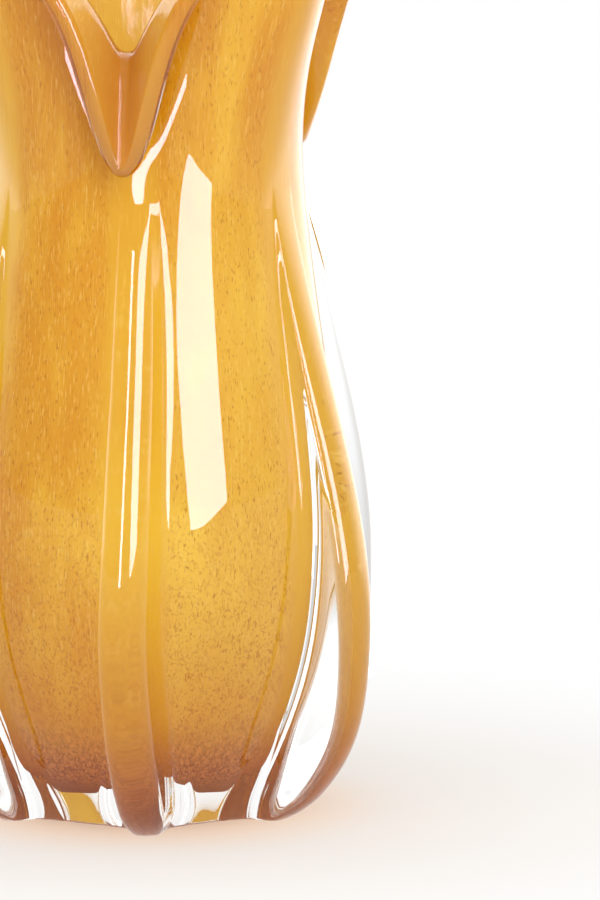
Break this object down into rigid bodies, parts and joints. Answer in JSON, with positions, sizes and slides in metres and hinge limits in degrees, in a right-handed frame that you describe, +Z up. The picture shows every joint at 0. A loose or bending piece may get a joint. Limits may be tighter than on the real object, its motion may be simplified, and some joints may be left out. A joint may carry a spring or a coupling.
{
  "type": "vase",
  "caption": "Gourd-shaped cased glass vase with pulled clear fins that end in a star foot, and a mouth drawn into folded, drooping petals.",
  "frame": {"origin": "centre of the flat underside of the foot, on the surface that the vase stands on", "axes": "+Z up along the vase's axis, -Y towards the front petal and front fin, +X to the right seen from the front"},
  "size_m": [0.1489, 0.1578, 0.3015],
  "materials": {
    "clear_glass": "fire-polished clear soda glass",
    "amber_glass": "mottled honey amber frit, translucent, glossy on the inside"
  },
  "bodies": {
    "root": {"clear_casing": "clear_glass", "amber_layer": "amber_glass", "fin_front": "clear_glass", "fin_right": "clear_glass", "fin_back_right": "clear_glass", "fin_back": "clear_glass", "fin_back_left": "clear_glass", "fin_left": "clear_glass"}
  },
  "joints": []
}
